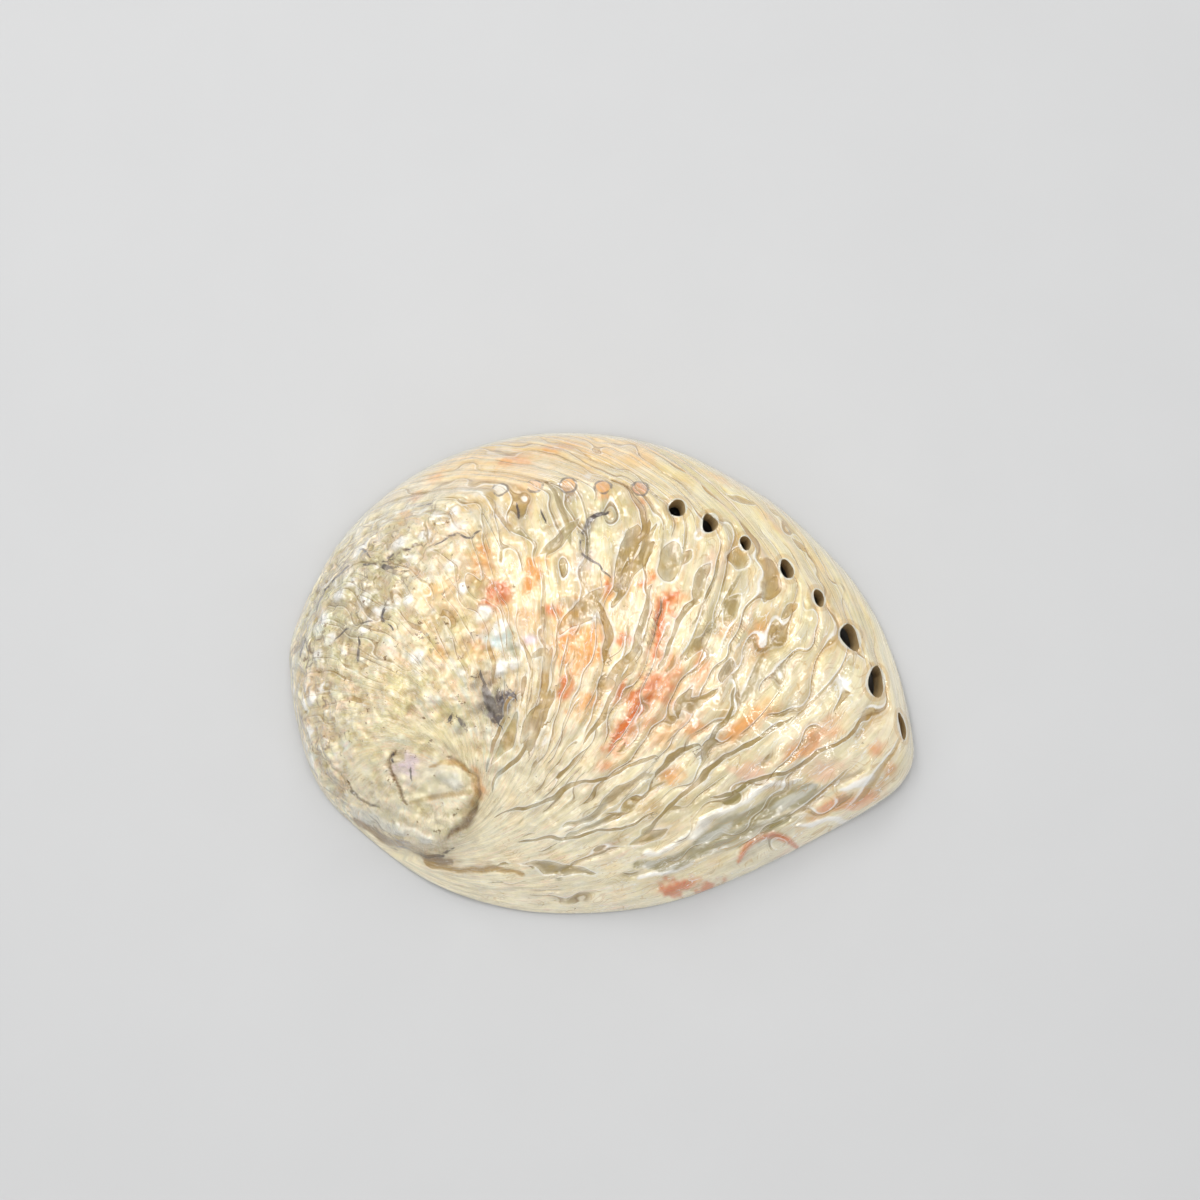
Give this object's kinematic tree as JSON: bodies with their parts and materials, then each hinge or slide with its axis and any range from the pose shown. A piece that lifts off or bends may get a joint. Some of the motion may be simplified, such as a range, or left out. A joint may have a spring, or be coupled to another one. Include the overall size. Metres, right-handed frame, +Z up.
{
  "type": "abalone shell",
  "caption": "Polished abalone shell: an ear-shaped dome with a low spire knob, a curved row of breathing holes, wrinkled growth ridges and an open hollow beneath.",
  "frame": {"origin": "middle of the shell's box on the surface it lies on", "axes": "+X along the shell's length towards its front tip, +Y across it towards the side with the holes, +Z up out of the domed back"},
  "size_m": [0.158, 0.1227, 0.0447],
  "materials": {
    "polished_shell": "polished pearly shell"
  },
  "bodies": {
    "root": {"abalone_shell": "polished_shell"}
  },
  "joints": []
}
